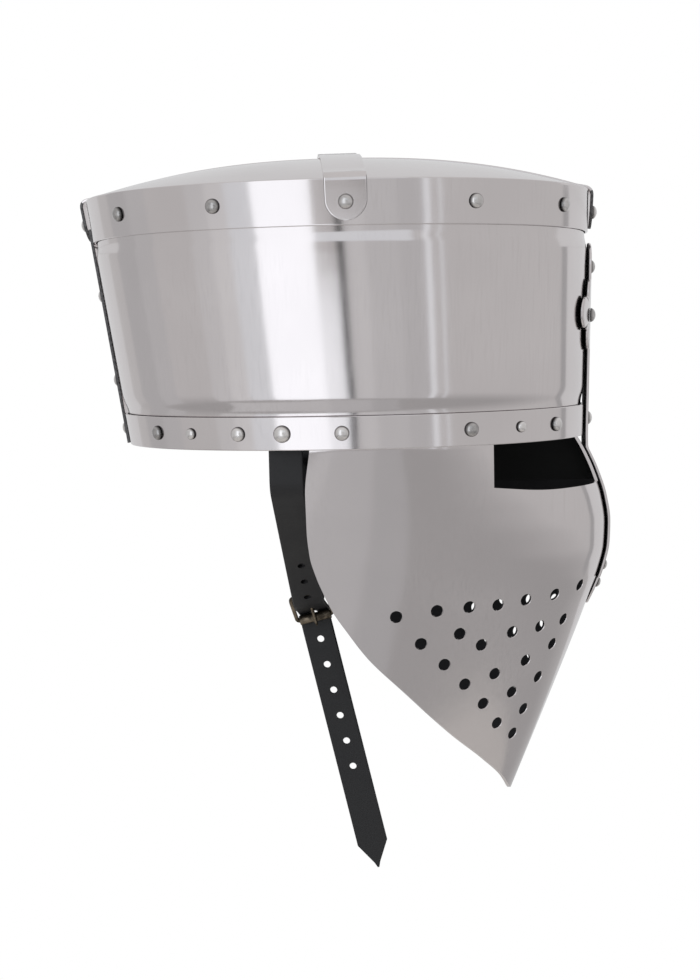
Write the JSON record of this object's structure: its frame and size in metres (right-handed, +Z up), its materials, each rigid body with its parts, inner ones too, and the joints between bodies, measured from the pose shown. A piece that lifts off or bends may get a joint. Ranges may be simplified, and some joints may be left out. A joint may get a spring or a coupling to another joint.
{
  "type": "face-plate helmet",
  "caption": "Flat-topped riveted steel helmet with a pierced face plate, eye slots, a cross-shaped front strap and a buckled leather chin strap.",
  "frame": {"origin": "middle of the brow band's lower edge, where the helmet sits on the head", "axes": "+Z up, -Y the wearer's front, -X the wearer's right"},
  "size_m": [0.2468, 0.2779, 0.3823],
  "materials": {
    "steel": "satin polished",
    "leather": "black, soft sheen",
    "buckle_metal": "aged, satin"
  },
  "bodies": {
    "root": {"top_cap": "steel", "skull_drum": "steel", "brow_band": "steel", "face_plate": "steel", "front_cross": "steel", "rear_strip": "steel", "crown_strap_long": "steel", "crown_strap_cross": "steel", "chin_strap_right": "leather", "chin_strap_left": "leather", "strap_rivet": "steel", "buckle_frame": "buckle_metal", "buckle_roller": "buckle_metal", "buckle_prong": "buckle_metal", "flange_rivet_right_1": "steel", "flange_rivet_right_2": "steel", "flange_rivet_right_3": "steel", "flange_rivet_right_4": "steel", "brow_rivet_right_1": "steel", "brow_rivet_right_2": "steel", "brow_rivet_right_3": "steel", "brow_rivet_right_4": "steel", "brow_rivet_right_5": "steel", "brow_rivet_right_6": "steel", "brow_rivet_right_7": "steel", "brow_rivet_right_8": "steel", "flange_rivet_left_1": "steel", "flange_rivet_left_2": "steel", "flange_rivet_left_3": "steel", "flange_rivet_left_4": "steel", "brow_rivet_left_1": "steel", "brow_rivet_left_2": "steel", "brow_rivet_left_3": "steel", "brow_rivet_left_4": "steel", "brow_rivet_left_5": "steel", "brow_rivet_left_6": "steel", "brow_rivet_left_7": "steel", "brow_rivet_left_8": "steel", "crown_rivet_rear": "steel", "crown_rivet_front": "steel", "crown_rivet_right": "steel", "crown_rivet_left": "steel", "rear_rivet_1": "steel", "rear_rivet_2": "steel", "rear_rivet_3": "steel", "cross_rivet_1": "steel", "cross_rivet_2": "steel", "cross_rivet_3": "steel", "cross_rivet_4": "steel", "cross_rivet_5": "steel", "cross_rivet_6": "steel"}
  },
  "joints": []
}
